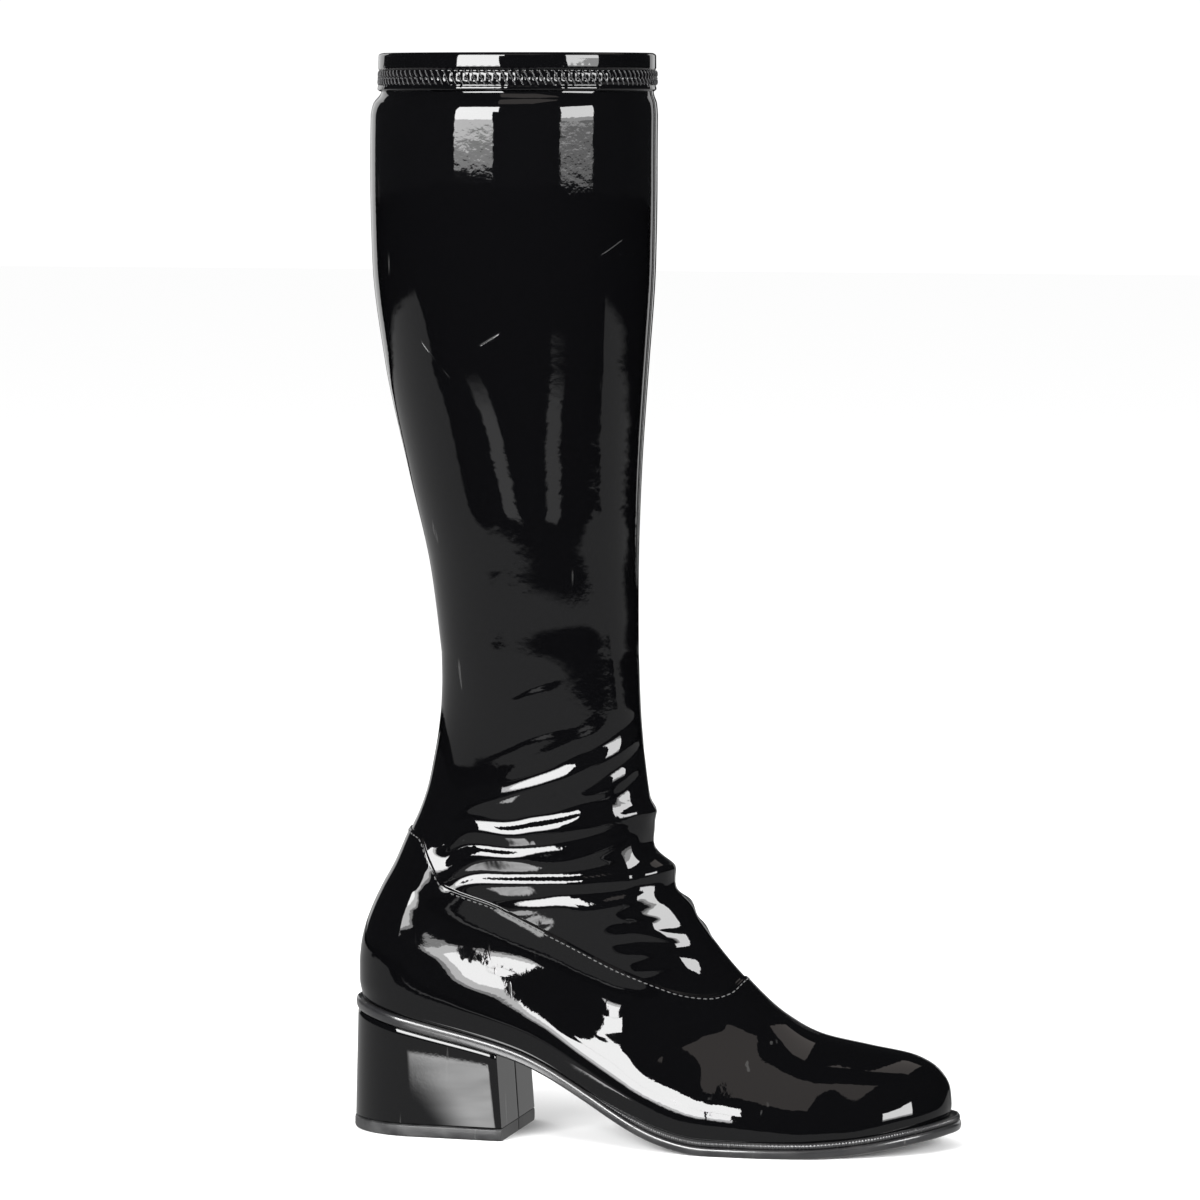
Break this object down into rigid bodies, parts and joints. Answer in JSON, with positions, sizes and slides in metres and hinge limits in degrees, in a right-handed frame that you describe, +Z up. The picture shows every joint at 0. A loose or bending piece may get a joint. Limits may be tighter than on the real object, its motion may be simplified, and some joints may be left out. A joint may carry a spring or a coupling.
{
  "type": "go go boot",
  "caption": "Knee-high stretch patent go go boot for the right foot, with a round toe, a ribbed welt, a thin sole and a covered block heel.",
  "frame": {"origin": "on the floor, under the middle of the boot's box", "axes": "+Z up, +X to the toe, +Y to the inner side of this right boot"},
  "size_m": [0.2633, 0.106, 0.4599],
  "materials": {
    "patent": "black stretch patent, mirror gloss",
    "elastic_binding": "black folded elastic with a two-row cover stitch",
    "insole_sock": "plain smooth sock lining",
    "sole": "black, painted glossy edge",
    "welt": "black, ribbed edge, satin",
    "heel_cover": "black patent cover, gloss",
    "lift_rubber": "black rubber, matt"
  },
  "bodies": {
    "root": {"upper": "patent", "top_band": "elastic_binding", "insole": "insole_sock", "outsole": "sole", "welt": "welt", "heel": "heel_cover", "heel_lift": "lift_rubber"}
  },
  "joints": []
}
